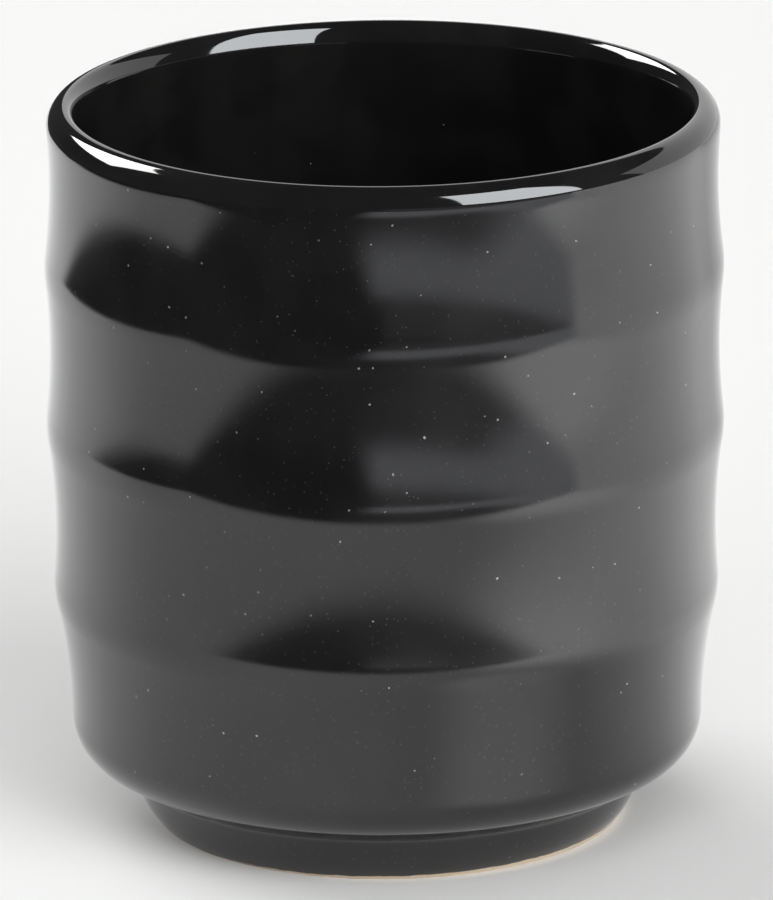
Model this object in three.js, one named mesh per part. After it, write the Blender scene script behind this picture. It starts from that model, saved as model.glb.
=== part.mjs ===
// Handleless stoneware cup: a fluted wall on a short foot ring, under coats of black glaze.
// Millimetres, +Z up. The cup's axis is Z and its foot stands on the plane z = 0.
import * as THREE from 'three';

// Foot ring
const FOOT_RADIUS = 26.75; // outside of the rim that the cup stands on
const FOOT_TAPER = 2.7; // how much wider the ring is where it meets the body
const FOOT_HEIGHT = 5.5; // rim to the crease under the body
const FOOT_BULGE = 0.41; // how far its outside bows out from a straight taper
const FOOT_WIDTH = 3.4; // thickness of the ring at its rim
const FOOT_FILLET = 1.5; // glaze gathered in the corners between foot and body
const RIM_EDGE = 0.25; // bevel on the inner edge of the bare rim
const BARE_LINE = 0.55; // clay left bare above the rim

// Body, from the foot up
const HEEL_INSET = 2.12; // the heel lies this far inside the widest place of the lip
const HEEL_RISE = 3.43; // rise of the underside from the foot to the heel
const HEEL_ROUND = 4.85; // radius that turns the underside into the wall
const LOW_FLUTE_LENGTH = 18.32; // heel to the low ridge
const LOW_FLUTE_DEPTH = 0.71;
const LOW_RIDGE_PROUD = 1.44; // ridges are measured from the straight line between heel and lip
const MIDDLE_FLUTE_LENGTH = 19.35; // low ridge to middle ridge
const MIDDLE_FLUTE_DEPTH = 0.69;
const MIDDLE_RIDGE_PROUD = 1.51;
const HIGH_FLUTE_LENGTH = 18.85; // middle ridge to high ridge
const HIGH_FLUTE_DEPTH = 0.62;
const HIGH_RIDGE_PROUD = 0.96;
const NECK_LENGTH = 14.35; // high ridge to the widest place of the lip
const NECK_DEPTH = 0.42;
const RIDGE_SOFTNESS = 1.8; // rounding on each side of a ridge's crest

// Lip and inside
const LIP_RADIUS = 38.5; // widest place of the lip
const LIP_RISE = 4.6; // height of the lip's long outer rounding
const LIP_OUTER_WIDTH = 2.2; // its crest lies this far inside the widest place
const LIP_INNER_DROP = 1.3; // height of the lip's tighter inner rounding
const WALL = 3.15; // wall behind the straight line between heel and lip
const FLOOR = 5.0; // bottom of the cup, glaze on both sides included
const INNER_CORNER = 9.0; // radius between the inside wall and the floor

// Glaze
const GLAZE = 0.35; // thickness of every coat
const FUSED_GAP = 0.05; // drawn between layers that the kiln has fused
const COAT = GLAZE + FUSED_GAP;

// Facets
const AROUND = 48;
const ARC_STEPS = 4;
const SHORT_ARC_STEPS = 3;
const SOFT_STEPS = 2;

const point = (radius, height) => new THREE.Vector2(radius, height);

// Heights and radii that follow from the sizes above
const footTop = point(FOOT_RADIUS + FOOT_TAPER, FOOT_HEIGHT);
const heel = point(LIP_RADIUS - HEEL_INSET, FOOT_HEIGHT + HEEL_RISE);
const ridgeHeights = [LOW_FLUTE_LENGTH, MIDDLE_FLUTE_LENGTH, HIGH_FLUTE_LENGTH].reduce(
  (heights, length) => [...heights, (heights.at(-1) ?? heel.y) + length],
  [],
);
const lipEdge = point(LIP_RADIUS, ridgeHeights.at(-1) + NECK_LENGTH);
const crest = point(LIP_RADIUS - LIP_OUTER_WIDTH, lipEdge.y + LIP_RISE);
const floorTop = FOOT_HEIGHT + FLOOR;

// Radius of the straight line from the heel to the lip, which the ridges and the inside follow.
function wallLine(height) {
  const share = (height - heel.y) / (lipEdge.y - heel.y);
  return THREE.MathUtils.lerp(heel.x, LIP_RADIUS, share);
}

const insideRadius = (height) => wallLine(height) - WALL;

// Joins curves end to end as one list of points.
function trace(curves) {
  const points = [];
  for (const [curve, steps] of curves) {
    points.push(...curve.getPoints(steps).slice(points.length ? 1 : 0));
  }
  return points;
}

// A flute is an arc that bows towards the axis between two ridges, cut short where they are rounded.
function fluteArc(bottom, top, depth, bottomCut, topCut) {
  const chord = top.clone().sub(bottom);
  const radius = (chord.lengthSq() / 4 + depth * depth) / (2 * depth);
  const outwards = point(chord.y, -chord.x).normalize();
  const centre = bottom.clone().lerp(top, 0.5).addScaledVector(outwards, radius - depth);
  const from = bottom.clone().sub(centre).angle() - bottomCut / radius;
  const to = top.clone().sub(centre).angle() + topCut / radius;
  return new THREE.EllipseCurve(centre.x, centre.y, radius, radius, from, to, true);
}

// The arc that rounds a corner between two directions, and how much of each side it takes up.
function roundCorner(corner, arriving, leaving, radius) {
  const half = Math.acos(arriving.dot(leaving)) / 2;
  const reach = radius * Math.tan(half);
  const inward = leaving.clone().sub(arriving).normalize();
  const centre = corner.clone().addScaledVector(inward, radius / Math.cos(half));
  const start = corner.clone().addScaledVector(arriving, -reach).sub(centre).angle();
  const turn = Math.sign(arriving.cross(leaving)) * 2 * half;
  return {
    reach,
    curve: new THREE.EllipseCurve(centre.x, centre.y, radius, radius, start, start + turn, turn < 0),
  };
}

// Moves an outline into the material, which lies on its left, by one depth all along.
function inset(outline, depth) {
  const edges = outline.slice(1).map((end, i) => end.clone().sub(outline[i]).normalize());
  return outline.map((corner, i) => {
    const before = edges[Math.max(i - 1, 0)];
    const after = edges[Math.min(i, edges.length - 1)];
    const left = point(-before.y - after.y, before.x + after.x).normalize();
    const squareness = left.y * after.x - left.x * after.y;
    return corner.clone().addScaledVector(left, depth / squareness);
  });
}

// A coat lies between its visible face and the bed that it is fused to.
// Its outline starts and ends on the axis where it reaches that, and otherwise closes on itself.
function coatOutline(face, bed) {
  const back = [...bed].reverse();
  const loop = face[0].x === 0 ? [...face, ...back] : [...back, ...face];
  return loop[0].x === 0 ? loop : [...loop, loop[0]];
}

// The foot's outside: a quadratic curve from the rim to the crease
const footRim = point(FOOT_RADIUS, 0);
const taper = footTop.clone().sub(footRim);
const footShoulder = footRim
  .clone()
  .lerp(footTop, 0.5)
  .addScaledVector(point(taper.y, -taper.x).normalize(), 2 * FOOT_BULGE);
const footCurve = new THREE.QuadraticBezierCurve(footRim, footShoulder, footTop);

// Share of the foot's curve that lies below a height.
function footShare(height) {
  const bend = FOOT_HEIGHT - 2 * footShoulder.y;
  return (Math.sqrt(footShoulder.y ** 2 + bend * height) - footShoulder.y) / bend;
}

// Glazed part of the foot, and the glaze gathered under the body
const underside = heel.clone().sub(footTop).normalize();
const footUp = footCurve.getTangent(1);
const crease = roundCorner(footTop, footUp, underside, FOOT_FILLET);
const creaseOutline = crease.curve.getPoints(SOFT_STEPS);
const glazeStart = footShare(BARE_LINE);
const glazeStep = (footShare(creaseOutline[0].y) - glazeStart) / SHORT_ARC_STEPS;
const footSide = Array.from({ length: SHORT_ARC_STEPS }, (_, i) =>
  footCurve.getPoint(glazeStart + i * glazeStep),
);

// Wall: heel, then flutes and ridges in turn, up to the widest place of the lip
const ridges = [LOW_RIDGE_PROUD, MIDDLE_RIDGE_PROUD, HIGH_RIDGE_PROUD].map((proud, i) =>
  point(wallLine(ridgeHeights[i]) + proud, ridgeHeights[i]),
);
const wallUp = fluteArc(heel, ridges[0], LOW_FLUTE_DEPTH, 0, 0).getTangent(0);
const heelTurn = roundCorner(heel, underside, wallUp, HEEL_ROUND);
const flutes = [
  fluteArc(heel, ridges[0], LOW_FLUTE_DEPTH, heelTurn.reach, RIDGE_SOFTNESS),
  fluteArc(ridges[0], ridges[1], MIDDLE_FLUTE_DEPTH, RIDGE_SOFTNESS, RIDGE_SOFTNESS),
  fluteArc(ridges[1], ridges[2], HIGH_FLUTE_DEPTH, RIDGE_SOFTNESS, RIDGE_SOFTNESS),
  fluteArc(ridges[2], lipEdge, NECK_DEPTH, RIDGE_SOFTNESS, 0),
];
const wallCurves = [[heelTurn.curve, ARC_STEPS]];
flutes.forEach((flute, i) => {
  wallCurves.push([flute, ARC_STEPS]);
  if (i < ridges.length) {
    const above = flutes[i + 1].getPoint(0);
    wallCurves.push([new THREE.QuadraticBezierCurve(flute.getPoint(1), ridges[i], above), SOFT_STEPS]);
  }
});
const wallOutline = trace(wallCurves);

// Lip and inside: over the crest, down the inner rounding and the wall, round to the middle of the floor
const innerEnd = point(insideRadius(crest.y - LIP_INNER_DROP), crest.y - LIP_INNER_DROP);
const cornerTop = floorTop + INNER_CORNER;
const cornerCentre = insideRadius(cornerTop) - INNER_CORNER;
const QUARTER = Math.PI / 2;
const insideOutline = trace([
  [new THREE.EllipseCurve(crest.x, lipEdge.y, LIP_OUTER_WIDTH, LIP_RISE, 0, QUARTER), ARC_STEPS],
  [
    new THREE.EllipseCurve(crest.x, innerEnd.y, crest.x - innerEnd.x, LIP_INNER_DROP, QUARTER, Math.PI),
    SHORT_ARC_STEPS,
  ],
  [new THREE.LineCurve(innerEnd, point(insideRadius(cornerTop), cornerTop)), 1],
  [new THREE.EllipseCurve(cornerCentre, cornerTop, INNER_CORNER, INNER_CORNER, 0, -QUARTER, true), ARC_STEPS],
  [new THREE.LineCurve(point(cornerCentre, floorTop), point(0, floorTop)), 1],
]);

// The two coats share one visible face and one bed, and meet at the widest place of the lip,
// where the outer coat stops just short of the inner one. The bed keeps the crease sharp,
// so the outer coat is thicker there.
const aboveFoot = [...wallOutline, ...insideOutline.slice(1)];
const face = [...footSide, ...creaseOutline, ...aboveFoot];
const sharpFace = [...footSide, footTop, ...aboveFoot];
const bed = inset(sharpFace, GLAZE);
const fromSeam = (outline) => outline.slice(-insideOutline.length);
const belowSeam = (outline) => {
  const seam = fromSeam(outline)[0];
  return [...outline.slice(0, -insideOutline.length), point(seam.x, seam.y - FUSED_GAP)];
};
const outerCoat = coatOutline(belowSeam(face), belowSeam(bed));
const innerCoat = coatOutline(fromSeam(face), fromSeam(bed));

// Where one side of the sharp crease, moved in to the clay behind the coat, reaches a height.
const behindCrease = (side, height) =>
  point(footTop.x + (side.x * (height - FOOT_HEIGHT) - COAT) / side.y, height);

// Clay body: everything behind the two coats, closed by a flat base that the foot is luted to
const bodyBase = FOOT_HEIGHT + COAT;
const bodyOutline = [
  point(0, bodyBase),
  behindCrease(underside, bodyBase),
  ...inset(sharpFace, COAT).slice(-aboveFoot.length),
];

// Foot ring: bare at the rim, stepped back under the glaze on both sides
const footInside = FOOT_RADIUS - FOOT_WIDTH;
const ringTop = bodyBase - FUSED_GAP;
const bareTop = BARE_LINE - FUSED_GAP;
const ringBore = footInside + COAT;
const upGlaze = footSide[1].clone().sub(footSide[0]).normalize();
const bareEnd = footSide[0].clone().addScaledVector(upGlaze, -FUSED_GAP);
const footRingOutline = [
  point(footInside + RIM_EDGE, 0),
  footRim,
  bareEnd,
  ...inset([bareEnd, ...footSide.slice(1), footTop], COAT).slice(0, -1),
  behindCrease(footUp, ringTop),
  point(ringBore, ringTop),
  point(ringBore, bareTop),
  point(footInside, bareTop),
  point(footInside, RIM_EDGE),
  point(footInside + RIM_EDGE, 0),
];

// Coat in the well under the cup: across the base and down the inside of the foot
const wellMiddle = point(0, FOOT_HEIGHT);
const wellCorner = point(footInside, FOOT_HEIGHT);
const wellEnd = point(footInside, BARE_LINE);
const wellTurn = roundCorner(wellCorner, point(1, 0), point(0, -1), FOOT_FILLET);
const wellFace = [wellMiddle, ...wellTurn.curve.getPoints(SOFT_STEPS), wellEnd];
const wellBed = inset([wellMiddle, wellCorner, wellEnd], GLAZE);
const wellCoat = coatOutline(wellFace, wellBed);

// Finishes
const clay = { color: 0xd9c9b2, roughness: 0.9, metalness: 0 };
const satinBlack = { color: 0x161617, roughness: 0.3, metalness: 0 };
const glossBlack = { color: 0x0d0d0e, roughness: 0.06, metalness: 0 };

// Turns an outline about the cup's axis as one named piece.
function turned(name, outline, finish) {
  const geometry = new THREE.LatheGeometry(outline, AROUND);
  geometry.rotateX(QUARTER);
  const piece = new THREE.Mesh(geometry, new THREE.MeshStandardMaterial(finish));
  piece.name = name;
  return piece;
}

const cup = new THREE.Group();
cup.name = 'handleless_cup';
cup.add(
  turned('clay_body', bodyOutline, clay),
  turned('foot_ring', footRingOutline, clay),
  turned('outer_glaze', outerCoat, satinBlack),
  turned('inner_glaze', innerCoat, glossBlack),
  turned('foot_well_glaze', wellCoat, satinBlack),
);

export default cup;
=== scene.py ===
"""A handleless stoneware cup in black glaze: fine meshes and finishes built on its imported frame.

The cup is a body of revolution about Z that stands on z = 0. Lengths are in metres.
"""

from __future__ import annotations

import logging
import math
from abc import ABC, abstractmethod
from dataclasses import dataclass
from enum import Enum
from itertools import accumulate, pairwise
from typing import Union

import bpy
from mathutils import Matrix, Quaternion, Vector

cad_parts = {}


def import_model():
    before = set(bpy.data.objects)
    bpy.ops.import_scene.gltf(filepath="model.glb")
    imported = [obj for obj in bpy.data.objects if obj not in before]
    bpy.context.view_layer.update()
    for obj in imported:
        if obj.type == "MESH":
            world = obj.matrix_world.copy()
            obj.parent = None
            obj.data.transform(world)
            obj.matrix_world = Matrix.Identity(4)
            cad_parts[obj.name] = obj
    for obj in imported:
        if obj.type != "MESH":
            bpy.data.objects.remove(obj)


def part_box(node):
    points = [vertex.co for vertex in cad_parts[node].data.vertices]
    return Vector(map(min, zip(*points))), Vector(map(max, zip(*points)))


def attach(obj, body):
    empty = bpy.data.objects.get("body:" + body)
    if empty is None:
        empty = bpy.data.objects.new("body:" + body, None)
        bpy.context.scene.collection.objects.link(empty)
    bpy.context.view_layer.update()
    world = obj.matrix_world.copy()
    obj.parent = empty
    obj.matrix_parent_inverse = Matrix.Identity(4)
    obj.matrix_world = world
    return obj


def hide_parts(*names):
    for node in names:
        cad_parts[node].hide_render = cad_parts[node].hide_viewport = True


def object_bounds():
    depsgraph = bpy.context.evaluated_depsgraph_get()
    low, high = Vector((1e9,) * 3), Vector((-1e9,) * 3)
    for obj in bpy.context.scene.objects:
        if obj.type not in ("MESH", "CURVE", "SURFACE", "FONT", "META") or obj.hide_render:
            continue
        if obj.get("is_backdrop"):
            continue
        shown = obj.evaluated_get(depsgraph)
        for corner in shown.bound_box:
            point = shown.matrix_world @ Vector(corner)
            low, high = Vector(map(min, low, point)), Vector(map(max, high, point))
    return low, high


LOG = logging.getLogger("handleless_cup")
MM = 0.001
# Points of an outline this close count as one, and so do vertices of a mesh
SAME_SPOT = 0.002 * MM
MERGE_REACH = 0.001 * MM
# An arc cut this finely shows its direction in its first step
TANGENT_STEPS = 200

Outline = list[Vector]
Colour = tuple[float, float, float, float]
Socket = bpy.types.NodeSocket
Input = Union[Socket, float, Colour]


def grey(level: float) -> Colour:
    """A neutral colour."""
    return level, level, level, 1.0


class Slot(Enum):
    """Material slots of the record."""

    BARE_CLAY = "bare_clay"
    SATIN_BLACK = "satin_black_glaze"
    GLOSS_BLACK = "gloss_black_glaze"


class Detail(Enum):
    """How finely a curve is divided: a face that shows, or a bed hidden under a coat."""

    FACE = 1.0
    BED = 0.35

    def steps(self, on_face: int) -> int:
        """Steps for a curve that has on_face steps where it shows, always an even number."""
        return max(2, 2 * round(on_face * self.value / 2))


# Outlines: points of (radius, height), with the material on their left


def point(radius: float, height: float) -> Vector:
    """A point of an outline."""
    return Vector((radius, height))


def line(start: Vector, end: Vector, steps: int) -> Outline:
    """A straight stretch from start to end."""
    return [start.lerp(end, i / steps) for i in range(steps + 1)]


def ellipse(centre: Vector, width: float, height: float, start: float, end: float, steps: int) -> Outline:
    """A stretch of an ellipse with these half axes, between angles in degrees: 0 is outwards, 90 up."""
    angles = [math.radians(start + (end - start) * i / steps) for i in range(steps + 1)]
    return [centre + point(width * math.cos(a), height * math.sin(a)) for a in angles]


def soft_crest(
    start: Vector, peak: Vector, end: Vector, steps: int, first: float = 0.0, last: float = 1.0
) -> Outline:
    """A quadratic curve from start to end that heads for the peak, or its stretch between two shares."""
    shares = [first + (last - first) * i / steps for i in range(steps + 1)]
    return [start.lerp(peak, s).lerp(peak.lerp(end, s), s) for s in shares]


def flute_arc(bottom: Vector, top: Vector, depth: float, cuts: tuple[float, float], steps: int) -> Outline:
    """An arc that bows towards the axis between two ridges.

    Args:
        bottom: the lower ridge.
        top: the upper ridge.
        depth: how far the arc bows in from the chord.
        cuts: length left off at the bottom and at the top, where the ridges are rounded.
        steps: number of stretches.

    Returns:
        The points from bottom to top.
    """
    chord = top - bottom
    radius = (chord.length_squared / 4 + depth * depth) / (2 * depth)
    outwards = point(chord.y, -chord.x).normalized()
    centre = bottom.lerp(top, 0.5) + outwards * (radius - depth)
    half = math.asin(chord.length / 2 / radius)
    across = math.atan2(-outwards.y, -outwards.x)
    first = math.degrees(across + half - cuts[0] / radius)
    last = math.degrees(across - half + cuts[1] / radius)
    return ellipse(centre, radius, radius, first, last, steps)


def rounded_corner(corner: Vector, before: Vector, after: Vector, radius: float, steps: int) -> Outline:
    """The arc that rounds a corner.

    Args:
        corner: where the two sides would meet.
        before: direction in which the outline arrives.
        after: direction in which it leaves.
        radius: radius of the arc.
        steps: number of stretches.

    Returns:
        The points of the arc, which starts and ends on the two sides.
    """
    half = before.angle(after) / 2
    centre = corner + (after - before).normalized() * (radius / math.cos(half))
    spoke = corner - before * (radius * math.tan(half)) - centre
    start = math.degrees(math.atan2(spoke.y, spoke.x))
    turn = math.copysign(math.degrees(2 * half), before.cross(after))
    return ellipse(centre, radius, radius, start, start + turn, steps)


def crossing(start: Vector, leaving: Vector, end: Vector, arriving: Vector) -> Vector:
    """Where the line through start along leaving meets the line through end along arriving."""
    return start + leaving * ((end - start).cross(arriving) / leaving.cross(arriving))


def joined(*stretches: Outline) -> Outline:
    """Stretches end to end as one outline.

    Args:
        stretches: the stretches in order.

    Returns:
        Their points, with none twice.
    """
    outline = [stretches[0][0]]
    for spot in (spot for stretch in stretches for spot in stretch):
        if (spot - outline[-1]).length > SAME_SPOT:
            outline.append(spot)
    return outline


def inset(outline: Outline, depth: float) -> Outline:
    """An outline moved into its material, which lies on its left.

    Args:
        outline: the outline to move.
        depth: how far it moves, the same all along.

    Returns:
        The moved points, one for each.
    """
    edges = [(after - before).normalized() for before, after in pairwise(outline)]
    moved = []
    for before, spot, after in zip([edges[0], *edges], outline, [*edges, edges[-1]]):
        left = point(-before.y - after.y, before.x + after.x).normalized()
        moved.append(spot + left * (depth / (left.y * after.x - left.x * after.y)))
    return moved


@dataclass(frozen=True)
class Divisions:
    """Steps along each curve of a face that shows."""

    foot_side: int = 16
    fillet: int = 10
    heel: int = 14
    flute: int = 26
    ridge: int = 12
    lip_roll: int = 10
    lip_turn: int = 26
    inner_wall: int = 12
    inner_corner: int = 16
    floor: int = 8
    well_floor: int = 8
    well_turn: int = 8
    well_side: int = 4


@dataclass(frozen=True)
class CupForm:
    """The sizes of the cup and the outlines that follow from them.

    The lip and the inside floor come from the frame. The other sizes are the cup's own.
    """

    lip_radius: float
    crest_height: float
    floor_top: float
    foot_radius: float = 26.75 * MM
    foot_taper: float = 2.7 * MM
    foot_height: float = 5.5 * MM
    foot_bulge: float = 0.41 * MM
    foot_width: float = 3.4 * MM
    foot_fillet: float = 1.5 * MM
    bare_line: float = 0.22 * MM
    rim_edge: float = 0.12 * MM
    heel_inset: float = 2.12 * MM
    heel_rise: float = 3.43 * MM
    heel_round: float = 4.85 * MM
    flute_lengths: tuple[float, ...] = (18.32 * MM, 19.35 * MM, 18.85 * MM)
    flute_depths: tuple[float, ...] = (0.71 * MM, 0.69 * MM, 0.62 * MM, 0.50 * MM)
    ridges_proud: tuple[float, ...] = (1.44 * MM, 1.51 * MM, 0.96 * MM)
    ridge_softness: float = 1.8 * MM
    lip_rise: float = 2.5 * MM
    lip_outer_width: float = 2.25 * MM
    lip_inner_drop: float = 3.0 * MM
    lip_blend: float = 0.8 * MM
    wall: float = 3.75 * MM
    inner_corner: float = 9.0 * MM
    glaze: float = 0.35 * MM
    fused_gap: float = 0.05 * MM
    divisions: Divisions = Divisions()

    @classmethod
    def from_frame(cls) -> CupForm:
        """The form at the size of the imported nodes."""
        low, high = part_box("inner_glaze")
        return cls(lip_radius=high.x, crest_height=high.z, floor_top=low.z + cls.glaze)

    @property
    def coat(self) -> float:
        """Depth from a glazed face to the clay."""
        return self.glaze + self.fused_gap

    @property
    def foot_inside(self) -> float:
        """Radius of the well under the cup."""
        return self.foot_radius - self.foot_width

    @property
    def foot_top(self) -> Vector:
        """The corner between the foot and the underside."""
        return point(self.foot_radius + self.foot_taper, self.foot_height)

    @property
    def heel(self) -> Vector:
        """The corner between the underside and the wall."""
        return point(self.lip_radius - self.heel_inset, self.foot_height + self.heel_rise)

    @property
    def lip_edge(self) -> Vector:
        """The widest place of the lip."""
        return point(self.lip_radius, self.crest_height - self.lip_rise)

    @property
    def foot_rim(self) -> Vector:
        """The outer edge of the rim that the cup stands on."""
        return point(self.foot_radius, 0.0)

    @property
    def foot_shoulder(self) -> Vector:
        """What the foot's bowed outside heads for on its way from the rim to the crease."""
        taper = self.foot_top - self.foot_rim
        outwards = point(taper.y, -taper.x).normalized()
        return self.foot_rim.lerp(self.foot_top, 0.5) + outwards * (2 * self.foot_bulge)

    @property
    def foot_up(self) -> Vector:
        """Direction of the foot's outside where it meets the crease."""
        return (self.foot_top - self.foot_shoulder).normalized()

    @property
    def under(self) -> Vector:
        """Direction of the underside, from the foot to the heel."""
        return (self.heel - self.foot_top).normalized()

    def foot_share(self, height: float) -> float:
        """Share of the foot's curve that lies below a height."""
        shoulder, bend = self.foot_shoulder.y, self.foot_height - 2 * self.foot_shoulder.y
        return (math.sqrt(shoulder * shoulder + bend * height) - shoulder) / bend

    def wall_line(self, height: float) -> float:
        """Radius of the straight line from the heel to the lip."""
        share = (height - self.heel.y) / (self.lip_edge.y - self.heel.y)
        return self.heel.x + share * (self.lip_edge.x - self.heel.x)

    def behind_crease(self, side: Vector, height: float) -> Vector:
        """Where one side of the sharp crease, moved in to the clay behind the coat, reaches a height."""
        radius = self.foot_top.x + (side.x * (height - self.foot_height) - self.coat) / side.y
        return point(radius, height)

    def ridges(self) -> Outline:
        """The three ridges, from the foot up, each proud of the straight wall line."""
        _, *heights = accumulate(self.flute_lengths, initial=self.heel.y)
        return [point(self.wall_line(at) + proud, at) for at, proud in zip(heights, self.ridges_proud)]

    def foot_outline(self, detail: Detail) -> Outline:
        """The foot's face from the glaze line up.

        Args:
            detail: face or bed.

        Returns:
            The points to the end of the crease's fillet, or to the sharp crease for the bed.
        """
        fillet_steps = detail.steps(self.divisions.fillet)
        fillet = rounded_corner(self.foot_top, self.foot_up, self.under, self.foot_fillet, fillet_steps)
        shares = self.foot_share(self.bare_line), self.foot_share(fillet[0].y)
        side_steps = detail.steps(self.divisions.foot_side)
        side = soft_crest(self.foot_rim, self.foot_shoulder, self.foot_top, side_steps, *shares)[:-1]
        return [*side, self.foot_top] if detail is Detail.BED else [*side, *fillet]

    def heel_turn(self, detail: Detail) -> Outline:
        """The rounding from the underside into the lowest flute.

        Args:
            detail: face or bed.

        Returns:
            The points from the underside up.
        """
        low_arc = flute_arc(self.heel, self.ridges()[0], self.flute_depths[0], (0.0, 0.0), TANGENT_STEPS)
        upwards = (low_arc[1] - low_arc[0]).normalized()
        steps = detail.steps(self.divisions.heel)
        return rounded_corner(self.heel, self.under, upwards, self.heel_round, steps)

    def flutes(self, detail: Detail, heel_cut: float) -> list[Outline]:
        """The hollow arcs of the wall, without the rounded ridges between them.

        Args:
            detail: face or bed.
            heel_cut: length that the heel takes from the lowest flute.

        Returns:
            The arcs, from the foot up.
        """
        corners = [self.heel, *self.ridges(), self.lip_edge]
        ridge_cuts = [self.ridge_softness] * len(self.ridges_proud)
        cuts = [heel_cut, *ridge_cuts, self.lip_blend]
        steps = detail.steps(self.divisions.flute)
        spans = zip(pairwise(corners), self.flute_depths, pairwise(cuts))
        return [flute_arc(low, high, depth, taken, steps) for (low, high), depth, taken in spans]

    def wall_outline(self, detail: Detail) -> Outline:
        """The heel, then flutes and ridges in turn.

        Args:
            detail: face or bed.

        Returns:
            The points up to where the lip begins to turn in.
        """
        turn = self.heel_turn(detail)
        flutes = self.flutes(detail, (turn[-1] - self.heel).length)
        stretches = [turn, flutes[0]]
        for (below, above), ridge in zip(pairwise(flutes), self.ridges()):
            stretches.append(soft_crest(below[-1], ridge, above[0], detail.steps(self.divisions.ridge)))
            stretches.append(above)
        return joined(*stretches)

    def lip_outline(self, detail: Detail) -> Outline:
        """The lip's rounding, over the crest.

        Args:
            detail: face or bed.

        Returns:
            The points from the outside to the inside wall.
        """
        crest = point(self.lip_edge.x - self.lip_outer_width, self.crest_height)
        inner_low = crest.y - self.lip_inner_drop
        inner_width = crest.x - (self.wall_line(inner_low) - self.wall)
        outer_centre = point(crest.x, self.lip_edge.y)
        inner_centre = point(crest.x, inner_low)
        blend_angle = math.degrees(self.lip_blend / self.lip_rise)
        steps = detail.steps(self.divisions.lip_turn)
        outer_turn = ellipse(outer_centre, self.lip_outer_width, self.lip_rise, blend_angle, 90, steps)
        inner_turn = ellipse(inner_centre, inner_width, self.lip_inner_drop, 90, 180, steps)
        return joined(outer_turn, inner_turn)

    def inside_outline(self, detail: Detail) -> Outline:
        """The lip, the inside wall and the floor.

        Args:
            detail: face or bed.

        Returns:
            The points from the lip's outside down to the axis.
        """
        lip = self.lip_outline(detail)
        round_in = self.inner_corner
        corner_top = self.floor_top + round_in
        corner_centre = point(self.wall_line(corner_top) - self.wall - round_in, corner_top)
        corner_steps = detail.steps(self.divisions.inner_corner)
        corner = ellipse(corner_centre, round_in, round_in, 0, -90, corner_steps)
        wall = line(lip[-1], corner[0], detail.steps(self.divisions.inner_wall))
        floor = line(corner[-1], point(0.0, self.floor_top), detail.steps(self.divisions.floor))
        return joined(lip, wall, corner, floor)

    def coat_faces(self, detail: Detail) -> tuple[Outline, Outline]:
        """The glazed faces outside and inside, which meet at the widest place of the lip.

        Args:
            detail: face or bed.

        Returns:
            The outer face from the foot up, and the inner face down to the axis.
        """
        wall = self.wall_outline(detail)
        inside = self.inside_outline(detail)
        widest = crossing(wall[-1], wall[-1] - wall[-2], inside[0], inside[1] - inside[0])
        roll = soft_crest(wall[-1], widest, inside[0], detail.steps(self.divisions.lip_roll))
        middle = len(roll) // 2
        outer = joined(self.foot_outline(detail), wall, roll[: middle + 1])
        inner = joined(roll[middle:], inside)
        return outer, inner

    def well_face(self, detail: Detail) -> Outline:
        """The face of the well under the cup.

        Args:
            detail: face or bed.

        Returns:
            The points from the axis to the glaze line, with a sharp corner for the bed.
        """
        middle = point(0.0, self.foot_height)
        corner = point(self.foot_inside, self.foot_height)
        glaze_line = point(self.foot_inside, self.bare_line)
        if detail is Detail.BED:
            return [middle, corner, glaze_line]
        outwards, downwards = point(1, 0), point(0, -1)
        turn_steps = detail.steps(self.divisions.well_turn)
        turn = rounded_corner(corner, outwards, downwards, self.foot_fillet, turn_steps)
        floor = line(middle, turn[0], detail.steps(self.divisions.well_floor))
        side = line(turn[-1], glaze_line, detail.steps(self.divisions.well_side))
        return joined(floor, turn, side)


# Node building


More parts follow.
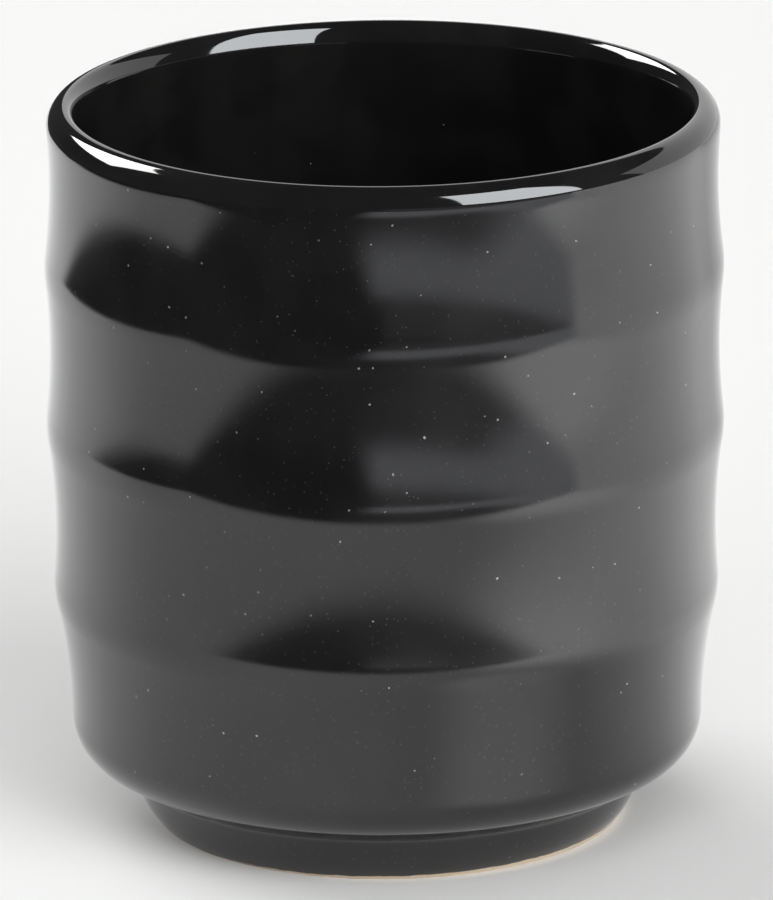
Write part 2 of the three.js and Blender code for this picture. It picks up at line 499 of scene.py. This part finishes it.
class Recipe:
    """A material's node tree, filled node by node. Its place is the shaded point in Object coordinates."""

    def __init__(self, name: str) -> None:
        """Starts an empty material.

        Args:
            name: name of the material.
        """
        self.material = bpy.data.materials.new(name)
        self.material.use_nodes = True
        self.tree = self.material.node_tree
        self.tree.nodes.clear()
        self.place = self.add("ShaderNodeTexCoord").outputs["Object"]

    def add(self, kind: str, **inputs: Input) -> bpy.types.Node:
        """Adds a node.

        Args:
            kind: its type.
            inputs: values or output sockets for its inputs, by name with _ for a space.

        Returns:
            The node.
        """
        node = self.tree.nodes.new(kind)
        for name, value in inputs.items():
            self.feed(node.inputs[name.replace("_", " ")], value)
        return node

    def feed(self, socket: Socket, value: Input) -> None:
        """Fills an input of a node.

        Args:
            socket: the input.
            value: an output socket to link to it, or the value to set.
        """
        if isinstance(value, Socket):
            self.tree.links.new(value, socket)
        else:
            socket.default_value = value

    def noise(self, size: float, layers: float, roughness: float = 0.5) -> Socket:
        """Smooth noise from 0 to 1 whose patches are about that size, with so many finer layers."""
        inputs = {"Scale": 1 / size, "Detail": layers, "Roughness": roughness}
        return self.add("ShaderNodeTexNoise", Vector=self.place, **inputs).outputs["Fac"]

    def ranged(
        self, value: Input, low: float, high: float, to_low: float = 0.0, to_high: float = 1.0
    ) -> Socket:
        """A value mapped smoothly from one range to another and held at its ends.

        Args:
            value: the value.
            low: start of its range.
            high: end of its range.
            to_low: what the start becomes.
            to_high: what the end becomes.

        Returns:
            The mapped value.
        """
        node = self.add("ShaderNodeMapRange", Value=value)
        node.interpolation_type = "SMOOTHSTEP"
        for name, number in zip(("From Min", "From Max", "To Min", "To Max"), (low, high, to_low, to_high)):
            node.inputs[name].default_value = number
        return node.outputs["Result"]

    def combined(self, operation: str, first: Input, second: Input) -> Socket:
        """Two values joined by a Math node.

        Args:
            operation: what the node does.
            first: the first value.
            second: the second value.

        Returns:
            The result.
        """
        node = self.add("ShaderNodeMath")
        node.operation = operation
        self.feed(node.inputs[0], first)
        self.feed(node.inputs[1], second)
        return node.outputs[0]

    def product(self, first: Input, second: Input) -> Socket:
        """The product of two values or masks."""
        return self.combined("MULTIPLY", first, second)

    def without(self, value: Input) -> Socket:
        """What is left of 1 without a value."""
        return self.combined("SUBTRACT", 1.0, value)

    def mixed(self, share: Input, first: Input, second: Input) -> Socket:
        """A colour between two others.

        Args:
            share: share of the second colour.
            first: the first colour.
            second: the second colour.

        Returns:
            The mixed colour.
        """
        node = self.add("ShaderNodeMix")
        node.data_type = "RGBA"
        self.feed(node.inputs["Factor"], share)
        colour_inputs = [socket for socket in node.inputs if socket.type == "RGBA"]
        self.feed(colour_inputs[0], first)
        self.feed(colour_inputs[1], second)
        return next(socket for socket in node.outputs if socket.type == "RGBA")

    def mixed_shader(self, share: Input, first: bpy.types.Node, second: bpy.types.Node) -> bpy.types.Node:
        """A shader between two others.

        Args:
            share: share of the second shader.
            first: the first shader.
            second: the second shader.

        Returns:
            The mixed shader.
        """
        node = self.add("ShaderNodeMixShader", Fac=share)
        self.feed(node.inputs[1], first.outputs[0])
        self.feed(node.inputs[2], second.outputs[0])
        return node

    def shaken(self, size: float, reach: float) -> Socket:
        """The place moved about by noise.

        Args:
            size: size of the noise's patches.
            reach: how far the place moves to either side of its mean.

        Returns:
            The moved place.
        """
        noise = self.add("ShaderNodeTexNoise", Vector=self.place, Scale=1 / size, Detail=1.0)
        node = self.add("ShaderNodeVectorMath")
        node.operation = "MULTIPLY_ADD"
        self.feed(node.inputs[0], noise.outputs["Color"])
        node.inputs[1].default_value = (2 * reach,) * 3
        self.feed(node.inputs[2], self.place)
        return node.outputs["Vector"]

    def axis(self, name: str) -> Socket:
        """The place along the axis of that name."""
        return self.add("ShaderNodeSeparateXYZ", Vector=self.place).outputs[name]

    def bump(
        self, height: Input, depth: float, strength: float = 1.0, normal: Socket | None = None
    ) -> Socket:
        """A normal tilted by small relief.

        Args:
            height: the relief, from 0 to 1.
            depth: the depth that it stands for.
            strength: how far the normal tilts with it.
            normal: the normal of coarser relief under it.

        Returns:
            The tilted normal.
        """
        node = self.add("ShaderNodeBump", Height=height, Distance=depth, Strength=strength)
        if normal is not None:
            self.feed(node.inputs["Normal"], normal)
        return node.outputs["Normal"]

    def finish(self, shader: bpy.types.Node) -> bpy.types.Material:
        """Links a shader to the surface and returns the material."""
        self.add("ShaderNodeOutputMaterial", Surface=shader.outputs[0])
        return self.material


# Finishes


@dataclass(frozen=True)
class Patches:
    """Cloudy patches: their size, their finer layers, and the part of the noise that counts."""

    size: float
    layers: float
    span: tuple[float, float]

    def over(self, recipe: Recipe, low: float = 0.0, high: float = 1.0) -> Socket:
        """A value that changes from patch to patch, from low to high."""
        return recipe.ranged(recipe.noise(self.size, self.layers), *self.span, low, high)


@dataclass(frozen=True)
class Flecks:
    """Tiny grains that show in a surface. Fray size and raggedness are in radii, core is a share of one."""

    spacing: float
    radius: float
    share: float
    colour: Colour
    fray_size: float = 2.5
    raggedness: float = 0.8
    core: float = 0.5

    def over(self, recipe: Recipe, base: Input) -> Socket:
        """Lays the flecks over a colour.

        Args:
            recipe: the material.
            base: the colour under them.

        Returns:
            The colour with flecks.
        """
        place = recipe.shaken(self.fray_size * self.radius, self.raggedness * self.radius)
        grains = recipe.add("ShaderNodeTexVoronoi", Vector=place, Scale=1 / self.spacing)
        lot = recipe.add("ShaderNodeSeparateColor", Color=grains.outputs["Color"])
        reach = self.radius / self.spacing
        near = recipe.ranged(grains.outputs["Distance"], self.core * reach, reach, 1.0, 0.0)
        chosen = recipe.combined("LESS_THAN", lot.outputs[0], self.share)
        strength = recipe.product(recipe.product(near, chosen), lot.outputs[1])
        return recipe.mixed(strength, base, self.colour)


class Finish(ABC):
    """What a piece is dressed in."""

    @abstractmethod
    def material(self) -> bpy.types.Material:
        """Builds the finish."""


@dataclass(frozen=True)
class SatinBlack(Finish):
    """Satin black glaze: soft gloss with pale flecks, glossy above lip_height, thin at the foot's edge."""

    lip_height: float
    thick: Colour = (0.0036, 0.0036, 0.0038, 1.0)
    thin: Colour = (0.0062, 0.0060, 0.0060, 1.0)
    clouds: Patches = Patches(9.0 * MM, 3.0, (0.35, 0.65))
    roughness: tuple[float, float] = (0.10, 0.125)
    sheen: Patches = Patches(6.0 * MM, 4.0, (0.3, 0.7))
    lip_roughness: float = 0.06
    gloss_run: float = 1.6 * MM
    refraction: float = 1.6
    undulation: float = 11.0 * MM
    undulation_layers: float = 1.0
    undulation_depth: float = 0.012 * MM
    grain: float = 0.5 * MM
    grain_layers: float = 2.0
    grain_depth: float = 0.0012 * MM
    edge_colour: Colour = (0.50, 0.41, 0.30, 1.0)
    edge_roughness: float = 0.6
    edge_height: float = 0.62 * MM
    edge_tilt: float = 0.013
    edge_blur: float = 0.09 * MM
    edge_fray: float = 1.5 * MM
    edge_fray_reach: float = 0.12 * MM
    dust: Flecks = Flecks(0.6 * MM, 0.1 * MM, 0.7, (0.05, 0.049, 0.047, 1.0))
    flecks: Flecks = Flecks(2.1 * MM, 0.17 * MM, 0.75, (0.26, 0.255, 0.24, 1.0))

    def covered(self, recipe: Recipe) -> Socket:
        """Mask of the full coat above its thin, slightly tilted edge at the foot.

        Args:
            recipe: the material.

        Returns:
            1 where the coat is full, 0 at its edge.
        """
        place = recipe.shaken(self.edge_fray, self.edge_fray_reach)
        level = recipe.add("ShaderNodeSeparateXYZ", Vector=place)
        tilted = recipe.product(level.outputs["X"], self.edge_tilt)
        above_edge = recipe.combined("SUBTRACT", level.outputs["Z"], tilted)
        thin_to, full_from = self.edge_height - self.edge_blur, self.edge_height + self.edge_blur
        return recipe.ranged(above_edge, thin_to, full_from)

    def colour(self, recipe: Recipe, covered: Socket) -> Socket:
        """Cloudy black with both layers of flecks, and the clay's colour through the thin edge.

        Args:
            recipe: the material.
            covered: mask of the full coat.

        Returns:
            The colour.
        """
        black = recipe.mixed(self.clouds.over(recipe), self.thick, self.thin)
        flecked = self.flecks.over(recipe, self.dust.over(recipe, black))
        return recipe.mixed(covered, self.edge_colour, flecked)

    def dullness(self, recipe: Recipe, covered: Socket) -> Socket:
        """Roughness of the coat: satin, smooth at the lip and dull at its thin edge.

        Args:
            recipe: the material.
            covered: mask of the full coat.

        Returns:
            The roughness.
        """
        satin = self.sheen.over(recipe, *self.roughness)
        gloss = recipe.ranged(recipe.axis("Z"), self.lip_height - self.gloss_run, self.lip_height)
        wall_part = recipe.product(satin, recipe.without(gloss))
        lip_part = recipe.product(self.lip_roughness, gloss)
        edge_part = recipe.ranged(covered, 0.0, 1.0, self.edge_roughness, 0.0)
        return recipe.combined("ADD", recipe.combined("ADD", wall_part, lip_part), edge_part)

    def material(self) -> bpy.types.Material:
        """Builds the finish.

        Returns:
            The material.
        """
        recipe = Recipe("satin_black_glaze")
        covered = self.covered(recipe)
        waves = recipe.noise(self.undulation, self.undulation_layers)
        skin = recipe.noise(self.grain, self.grain_layers)
        wavy = recipe.bump(waves, self.undulation_depth)
        shader = recipe.add(
            "ShaderNodeBsdfPrincipled",
            Base_Color=self.colour(recipe, covered),
            Roughness=self.dullness(recipe, covered),
            IOR=self.refraction,
            Normal=recipe.bump(skin, self.grain_depth, normal=wavy),
        )
        return recipe.finish(shader)


@dataclass(frozen=True)
class GlossBlack(Finish):
    """Glossy black glaze of the lip and the inside."""

    thick: Colour = (0.0054, 0.0053, 0.0053, 1.0)
    thin: Colour = (0.0086, 0.0083, 0.0081, 1.0)
    clouds: Patches = Patches(8.0 * MM, 3.0, (0.35, 0.65))
    roughness: tuple[float, float] = (0.035, 0.06)
    sheen: Patches = Patches(5.0 * MM, 4.0, (0.3, 0.7))
    refraction: float = 1.6
    undulation: float = 8.0 * MM
    undulation_layers: float = 1.0
    undulation_depth: float = 0.006 * MM
    flecks: Flecks = Flecks(1.7 * MM, 0.1 * MM, 0.35, (0.18, 0.18, 0.17, 1.0))

    def material(self) -> bpy.types.Material:
        """Builds the finish.

        Returns:
            The material.
        """
        recipe = Recipe("gloss_black_glaze")
        black = recipe.mixed(self.clouds.over(recipe), self.thick, self.thin)
        waves = recipe.noise(self.undulation, self.undulation_layers)
        shader = recipe.add(
            "ShaderNodeBsdfPrincipled",
            Base_Color=self.flecks.over(recipe, black),
            Roughness=self.sheen.over(recipe, *self.roughness),
            IOR=self.refraction,
            Normal=recipe.bump(waves, self.undulation_depth),
        )
        return recipe.finish(shader)


@dataclass(frozen=True)
class BareClay(Finish):
    """Fired stoneware clay without glaze: cream, matt and finely grained."""

    light: Colour = (0.70, 0.58, 0.44, 1.0)
    dark: Colour = (0.52, 0.41, 0.29, 1.0)
    clouds: Patches = Patches(7.0 * MM, 3.0, (0.3, 0.7))
    clouds_share: float = 0.6
    roughness: tuple[float, float] = (0.82, 0.95)
    roughness_span: tuple[float, float] = (0.3, 0.7)
    refraction: float = 1.45
    grain: float = 0.35 * MM
    grain_layers: float = 4.0
    grain_weight: float = 0.6
    grain_span: tuple[float, float] = (0.45, 0.7)
    grain_share: float = 0.4
    grain_depth: float = 0.03 * MM
    grain_strength: float = 0.6
    flecks: Flecks = Flecks(0.9 * MM, 0.1 * MM, 0.35, (0.12, 0.08, 0.05, 1.0))

    def material(self) -> bpy.types.Material:
        """Builds the finish.

        Returns:
            The material.
        """
        recipe = Recipe("bare_clay")
        grain = recipe.noise(self.grain, self.grain_layers, self.grain_weight)
        cloudy = self.clouds.over(recipe, 0.0, self.clouds_share)
        grainy = recipe.ranged(grain, *self.grain_span, 0.0, self.grain_share)
        colour = recipe.mixed(recipe.combined("ADD", cloudy, grainy), self.light, self.dark)
        shader = recipe.add(
            "ShaderNodeBsdfPrincipled",
            Base_Color=self.flecks.over(recipe, colour),
            Roughness=recipe.ranged(grain, *self.roughness_span, *self.roughness),
            IOR=self.refraction,
            Normal=recipe.bump(grain, self.grain_depth, self.grain_strength),
        )
        return recipe.finish(shader)


# Pieces


@dataclass
class TurnedPiece(ABC):
    """A piece turned about the cup's axis, in place of the CAD node of like form."""

    form: CupForm
    name: str
    node: str
    slot: Slot
    finish: Finish
    around: int = 224
    sharp_angle: float = 38.0

    @abstractmethod
    def outline(self) -> Outline:
        """The closed outline, or one that starts and ends on the axis."""

    def build(self) -> bpy.types.Object:
        """Draws the outline vertex by vertex and spins it into a closed mesh.

        Returns:
            The mesh object.
        """
        outline = self.outline()
        bpy.ops.object.select_all(action="DESELECT")
        bpy.ops.mesh.primitive_plane_add(size=MM)
        piece = bpy.context.object
        piece.name = piece.data.name = self.name
        bpy.ops.object.mode_set(mode="EDIT")
        bpy.ops.mesh.select_all(action="SELECT")
        bpy.ops.mesh.merge(type="CENTER")
        bpy.ops.transform.translate(value=(outline[0].x, 0.0, outline[0].y))
        for before, after in pairwise(outline):
            step = after - before
            bpy.ops.mesh.extrude_region_move(TRANSFORM_OT_translate={"value": (step.x, 0.0, step.y)})
        bpy.ops.mesh.select_all(action="SELECT")
        bpy.ops.mesh.spin(steps=self.around, angle=math.tau, center=(0, 0, 0), axis=(0, 0, 1))
        bpy.ops.mesh.select_all(action="SELECT")
        bpy.ops.mesh.remove_doubles(threshold=MERGE_REACH)
        bpy.ops.mesh.normals_make_consistent(inside=False)
        bpy.ops.object.mode_set(mode="OBJECT")
        bpy.ops.object.shade_smooth_by_angle(angle=math.radians(self.sharp_angle))
        return piece

    def dress(self, piece: bpy.types.Object) -> None:
        """Gives the mesh its finish and ties it to the frame.

        Args:
            piece: the mesh object.
        """
        piece.data.materials.clear()
        piece.data.materials.append(self.finish.material())
        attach(piece, "root")
        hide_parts(self.node)

    def make(self) -> None:
        """Builds and dresses the piece, and reports it."""
        piece = self.build()
        self.dress(piece)
        mesh = piece.data
        LOG.info("%s: %d vertices, %d faces", piece.name, len(mesh.vertices), len(mesh.polygons))


@dataclass
class OuterCoat(TurnedPiece):
    """Satin glaze over the foot, heel and fluted wall up to the lip."""

    def outline(self) -> Outline:
        """Follows the outer face and comes back along its bed.

        Returns:
            The closed outline.
        """
        face, _ = self.form.coat_faces(Detail.FACE)
        bed, _ = self.form.coat_faces(Detail.BED)
        loop = [*reversed(inset(bed, self.form.glaze)), *face]
        return [*loop, loop[0]]


@dataclass
class InnerCoat(TurnedPiece):
    """Glossy glaze over the lip and inside."""

    def outline(self) -> Outline:
        """Follows the bed up to the lip and comes back down the inner face.

        Returns:
            The outline from axis to axis.
        """
        _, face = self.form.coat_faces(Detail.FACE)
        _, bed = self.form.coat_faces(Detail.BED)
        return [*reversed(inset(bed, self.form.glaze)), *face]


@dataclass
class WellCoat(TurnedPiece):
    """Glaze across the base inside the foot ring."""

    def outline(self) -> Outline:
        """Follows the well's face and comes back along its bed.

        Returns:
            The outline from axis to axis.
        """
        face = self.form.well_face(Detail.FACE)
        bed = inset(self.form.well_face(Detail.BED), self.form.glaze)
        return [*face, *reversed(bed)]


@dataclass
class ClayBody(TurnedPiece):
    """The clay wall and floor behind the coats, with a flat base."""

    def outline(self) -> Outline:
        """Goes from the middle of the base out under the foot's fillet, and round behind both coats.

        Returns:
            The outline from axis to axis.
        """
        form = self.form
        outer, inner = form.coat_faces(Detail.BED)
        behind = inset(joined(outer, inner), form.coat)
        base = form.foot_height + form.coat
        foot_points = len(form.foot_outline(Detail.BED))
        return [point(0.0, base), form.behind_crease(form.under, base), *behind[foot_points:]]


@dataclass
class FootRing(TurnedPiece):
    """The clay ring that the cup stands on, bare at its rim and stepped back under the glaze."""

    glaze_proud: float = 0.1 * MM
    edge_steps: int = 6

    def outline(self) -> Outline:
        """Goes round the ring: rim, bare outside, glazed outside, top, bore and bare inside.

        Returns:
            The closed outline.
        """
        form = self.form
        top = form.foot_height + form.coat - form.fused_gap
        bare_top = form.bare_line - form.fused_gap
        edge = form.rim_edge
        inside = form.foot_inside + self.glaze_proud
        bore = form.foot_inside + form.coat
        glazed = form.foot_outline(Detail.BED)
        below_glaze = glazed[0] - (glazed[1] - glazed[0]).normalized() * form.fused_gap
        bare = inset([form.foot_rim, below_glaze], self.glaze_proud)
        rim = point(form.foot_radius - self.glaze_proud, 0.0)
        loop = joined(
            soft_crest(rim - point(edge, 0.0), rim, bare[1], self.edge_steps),
            inset([below_glaze, *glazed[1:]], form.coat)[:-1],
            [form.behind_crease(form.foot_up, top), point(bore, top)],
            [point(bore, bare_top), point(inside, bare_top)],
            ellipse(point(inside + edge, edge), edge, edge, -180, -90, self.edge_steps),
        )
        return [*loop, loop[0]]


# Studio


class Shines(Enum):
    """What a light reaches, as a pair: mirror images in the glaze, and matt surfaces."""

    MIRRORED = (True, False)
    MATT = (False, True)


@dataclass(frozen=True)
class SoftLight:
    """A rectangular soft light that shines on the cup.

    Azimuth 0 is towards the camera and grows to the right. Angles are in degrees, width and height too.
    """

    name: str
    shines: Shines
    azimuth: float
    elevation: float
    width: float
    height: float
    radiance: float
    colour: tuple[float, float, float] = (1.0, 1.0, 1.0)
    distance: float = 1.1
    upright: bool = False

    def place(self, aim: Vector) -> None:
        """Hangs the light, out of the camera's sight: turned to the aim, or upright like a window.

        Args:
            aim: what the light shines on.
        """
        around, up = math.radians(self.azimuth), math.radians(self.elevation)
        half = math.radians(self.height / 2)
        level = Vector((math.sin(around), -math.cos(around), 0.0))
        if self.upright:
            low, high = math.tan(up - half), math.tan(up + half)
            out = level
            centre = level + Vector((0.0, 0.0, (low + high) / 2))
        else:
            low, high = -math.tan(half), math.tan(half)
            out = level * math.cos(up) + Vector((0.0, 0.0, math.sin(up)))
            centre = out
        lamp = bpy.data.lights.new(self.name, "AREA")
        lamp.shape = "RECTANGLE"
        lamp.size = 2 * self.distance * math.tan(math.radians(self.width / 2))
        lamp.size_y = self.distance * (high - low)
        lamp.energy = self.radiance * math.pi * lamp.size * lamp.size_y
        lamp.color = self.colour
        holder = bpy.data.objects.new(self.name, lamp)
        bpy.context.scene.collection.objects.link(holder)
        holder.location = aim + centre * self.distance
        holder.rotation_euler = (-out).to_track_quat("-Z", "Y").to_euler()
        holder.visible_camera = False
        holder.visible_glossy, holder.visible_diffuse = self.shines.value


@dataclass(frozen=True)
class Edge:
    """A soft edge on the floor: where it lies, how far it fades to either side, and how it slants."""

    at: float
    blur: float
    slant: float = 0.0

    def right_of(self, recipe: Recipe) -> Socket:
        """1 to the right of the edge, 0 to its left."""
        return recipe.ranged(recipe.axis("X"), self.at - self.blur, self.at + self.blur)

    def behind(self, recipe: Recipe) -> Socket:
        """1 behind the edge as seen from the camera, 0 in front of it."""
        place = recipe.combined("ADD", recipe.axis("Y"), recipe.product(recipe.axis("X"), self.slant))
        return recipe.ranged(place, self.at - self.blur, self.at + self.blur)


@dataclass(frozen=True)
class PaintedGlow:
    """A painted pool of light on the floor, which only the glaze's reflections show."""

    place: tuple[float, float, float]
    core: float
    reach: float
    tone: Colour

    def over(self, recipe: Recipe, tone: Socket) -> Socket:
        """Lays the painted pool of light over a tone.

        Args:
            recipe: the material.
            tone: the tone around it.

        Returns:
            The tone with the glow.
        """
        away = recipe.add("ShaderNodeVectorMath")
        away.operation = "DISTANCE"
        recipe.feed(away.inputs[0], recipe.place)
        away.inputs[1].default_value = self.place
        strength = recipe.ranged(away.outputs["Value"], self.core, self.reach, 1.0, 0.0)
        return recipe.mixed(strength, tone, self.tone)


@dataclass(frozen=True)
class Table:
    """The pale floor. The glaze mirrors it as a painted layout: a table top in painted light, and a dark
    room beyond its edges painted as a glow that is no lamp.
    """

    side: float = 4.0
    colour: Colour = (0.82, 0.82, 0.815, 1.0)
    left_edge: Edge = Edge(-0.276, 0.018)
    front_edge: Edge = Edge(-0.136, 0.018, slant=0.04)
    wing_edge: Edge = Edge(-0.019, 0.018, slant=0.445)
    wing_start: Edge = Edge(0.1, 0.02)
    # Tones of the table top as the glaze mirrors it: painted light, some brighter than any paper
    painted_front_light: Colour = grey(0.88)
    back_start: Edge = Edge(0.02, 0.07)
    painted_back_light: Colour = grey(1.2)
    right_start: Edge = Edge(0.075, 0.03)
    painted_right_light: Colour = grey(1.42)
    far_edge: Edge = Edge(0.005, 0.06, slant=-0.9)
    far_start: Edge = Edge(0.045, 0.045)
    painted_far_light: Colour = grey(0.88)
    # Painted pools of light in the mirrored floor; no lamp lights these spots
    painted_glows: tuple[PaintedGlow, ...] = (
        PaintedGlow((0.15, -0.115, 0.0), 0.02, 0.12, grey(2.0)),
        PaintedGlow((0.041, -0.064, 0.0), 0.01, 0.032, grey(1.5)),
    )
    # A painted glowing room and bright board beyond the table, seen only in the glaze's reflections
    board_left: Edge = Edge(-0.028, 0.025)
    board_near: Edge = Edge(-0.245, 0.035)
    board_far: Edge = Edge(-0.43, 0.06)
    painted_board_glow: Colour = (1.05, 1.065, 1.14, 1.0)
    gap_end: tuple[float, float] = (0.10, 0.19)
    room_turn: Edge = Edge(0.0, 0.06)
    painted_room_left: Colour = grey(0.06)
    painted_room_right: Colour = (0.27, 0.27, 0.28, 1.0)

    def on_table(self, recipe: Recipe) -> Socket:
        """Mask of the table top: a square with a slanted wing at its right.

        Args:
            recipe: the material.

        Returns:
            1 on the table top, 0 beyond it.
        """
        square = recipe.product(self.left_edge.right_of(recipe), self.front_edge.behind(recipe))
        wing = recipe.product(self.wing_edge.behind(recipe), self.wing_start.right_of(recipe))
        return recipe.combined("MAXIMUM", square, wing)

    def painted_table_light(self, recipe: Recipe) -> Socket:
        """Painted light of the mirrored table top, brighter to the back and right, with its painted pools
        of light.

        Args:
            recipe: the material.

        Returns:
            The tone.
        """
        tone = recipe.mixed(self.back_start.behind(recipe), self.painted_front_light, self.painted_back_light)
        tone = recipe.mixed(self.right_start.right_of(recipe), tone, self.painted_right_light)
        far_right = recipe.product(self.far_edge.behind(recipe), self.far_start.right_of(recipe))
        tone = recipe.mixed(far_right, tone, self.painted_far_light)
        for glow in self.painted_glows:
            tone = glow.over(recipe, tone)
        return tone

    def painted_room_glow(self, recipe: Recipe) -> Socket:
        """Painted glow of the room beyond the table, with a bright painted board in it.

        Args:
            recipe: the material.

        Returns:
            The light.
        """
        left_of_gap_end = recipe.ranged(recipe.axis("X"), *self.gap_end, 1.0, 0.0)
        gap = recipe.product(self.board_near.behind(recipe), left_of_gap_end)
        depth = recipe.product(self.board_far.behind(recipe), recipe.without(gap))
        on_board = recipe.product(self.board_left.right_of(recipe), depth)
        room = recipe.mixed(self.room_turn.right_of(recipe), self.painted_room_left, self.painted_room_right)
        return recipe.mixed(on_board, room, self.painted_board_glow)

    def material(self) -> bpy.types.Material:
        """Builds plain matt paper, with the painted layout that the glaze mirrors.

        Returns:
            The material.
        """
        recipe = Recipe("studio_floor")
        # Mirror rays see painted light here: the room beyond the table glows though it is no lamp, and the
        # table top takes painted tones
        beyond = recipe.add("ShaderNodeEmission", Color=self.painted_room_glow(recipe), Strength=1.0)
        top = recipe.add("ShaderNodeBsdfDiffuse", Color=self.painted_table_light(recipe))
        paper = recipe.add("ShaderNodeBsdfDiffuse", Color=self.colour)
        mirrored = recipe.add("ShaderNodeLightPath").outputs["Is Glossy Ray"]
        painted_mirror_image = recipe.mixed_shader(self.on_table(recipe), beyond, top)
        return recipe.finish(recipe.mixed_shader(mirrored, paper, painted_mirror_image))

    def lay(self) -> None:
        """Lays the floor under the cup."""
        bpy.ops.object.select_all(action="DESELECT")
        bpy.ops.mesh.primitive_plane_add(size=self.side)
        floor = bpy.context.object
        floor.name = "studio_floor"
        floor.data.materials.append(self.material())
        floor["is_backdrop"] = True


@dataclass(frozen=True)
class Camera:
    """The camera at the photograph's angle, far off with a long lens.

    Elevation and roll are in degrees, lens and sensor width in millimetres.
    """

    aim: tuple[float, float, float] = (0.147 * MM, 0.0, 42.948 * MM)
    distance: float = 1383.6 * MM
    elevation: float = 16.772
    roll: float = -0.415
    lens: float = 482.03
    sensor_width: float = 36.0
    clip: tuple[float, float] = (0.01, 20.0)

    def place(self) -> None:
        """Sets up the camera and makes it the scene's own."""
        lens_data = bpy.data.cameras.new("camera")
        lens_data.sensor_width = self.sensor_width
        lens_data.lens = self.lens
        lens_data.clip_start, lens_data.clip_end = self.clip
        camera = bpy.data.objects.new("camera", lens_data)
        bpy.context.scene.collection.objects.link(camera)
        up = math.radians(self.elevation)
        back = Vector((0.0, -math.cos(up), math.sin(up)))
        camera.location = Vector(self.aim) + back * self.distance
        turn = (-back).to_track_quat("-Z", "Y") @ Quaternion((0, 0, 1), math.radians(self.roll))
        camera.rotation_euler = turn.to_euler()
        bpy.context.scene.camera = camera


@dataclass(frozen=True)
class Studio:
    """Pale floor, soft lights and camera."""

    table: Table = Table()
    camera: Camera = Camera()
    room_colour: Colour = (0.05, 0.05, 0.052, 1.0)
    fill_colour: Colour = grey(0.36)
    backdrop_colour: Colour = grey(0.92)
    lights: tuple[SoftLight, ...] = (
        SoftLight(
            "key_softbox", Shines.MIRRORED, azimuth=-131.0, elevation=37.25, width=41.0, height=22.5,
            radiance=14.0, colour=(1.0, 0.99, 0.98), upright=True,
        ),
        SoftLight(
            "key_wash", Shines.MATT, azimuth=-134.0, elevation=34.0, width=57.0, height=29.0,
            radiance=4.3, distance=3.0,
        ),
        SoftLight(
            "window_softbox", Shines.MIRRORED, azimuth=47.5, elevation=32.5, width=43.0, height=51.0,
            radiance=9.5, colour=(0.93, 0.96, 1.0), upright=True,
        ),
        SoftLight(
            "window_wash", Shines.MATT, azimuth=43.5, elevation=16.5, width=45.0, height=27.0,
            radiance=8.2, distance=3.0,
        ),
        SoftLight(
            "front_wash", Shines.MATT, azimuth=5.0, elevation=42.0, width=50.0, height=30.0,
            radiance=2.3, distance=3.0,
        ),
        SoftLight(
            "white_card", Shines.MIRRORED, azimuth=140.0, elevation=17.5, width=89.0, height=37.0,
            radiance=1.0,
        ),
    )

    def world(self) -> None:
        """A dark room where the glaze mirrors it, soft fill for matt surfaces and a pale backdrop."""
        world = bpy.data.worlds.new("studio")
        world.use_nodes = True
        tree = world.node_tree
        tree.nodes.clear()
        seen = tree.nodes.new("ShaderNodeLightPath")
        shown = tree.nodes.new("ShaderNodeBackground")
        shown.inputs["Color"].default_value = self.fill_colour
        for ray, colour in (("Is Camera Ray", self.backdrop_colour), ("Is Glossy Ray", self.room_colour)):
            other = tree.nodes.new("ShaderNodeBackground")
            other.inputs["Color"].default_value = colour
            either = tree.nodes.new("ShaderNodeMixShader")
            sources = (seen.outputs[ray], shown.outputs[0], other.outputs[0])
            for source, socket in zip(sources, either.inputs):
                tree.links.new(source, socket)
            shown = either
        output = tree.nodes.new("ShaderNodeOutputWorld")
        tree.links.new(shown.outputs[0], output.inputs["Surface"])
        bpy.context.scene.world = world

    def build(self, aim: Vector) -> None:
        """Sets up floor, world, lights and camera.

        Args:
            aim: the middle of the cup.
        """
        self.table.lay()
        self.world()
        for light in self.lights:
            light.place(aim)
        self.camera.place()
        bpy.context.scene.view_settings.view_transform = "Standard"
        LOG.info("studio: floor, world, %d lights and camera", len(self.lights))


def main() -> None:
    """Loads the frame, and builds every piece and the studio."""
    logging.basicConfig(level=logging.INFO, format="%(message)s")
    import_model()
    cad_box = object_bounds()
    form = CupForm.from_frame()
    clay = BareClay()
    satin = SatinBlack(lip_height=form.lip_edge.y)
    gloss = GlossBlack()
    pieces = (
        ClayBody(form, "clay_body_fine", "clay_body", Slot.BARE_CLAY, clay),
        FootRing(form, "foot_ring_fine", "foot_ring", Slot.BARE_CLAY, clay),
        OuterCoat(form, "outer_glaze_fine", "outer_glaze", Slot.SATIN_BLACK, satin),
        InnerCoat(form, "inner_glaze_fine", "inner_glaze", Slot.GLOSS_BLACK, gloss),
        WellCoat(form, "foot_well_glaze_fine", "foot_well_glaze", Slot.SATIN_BLACK, satin),
    )
    for piece in pieces:
        piece.make()
    Studio().build((cad_box[0] + cad_box[1]) / 2)


if __name__ == "__main__":
    main()
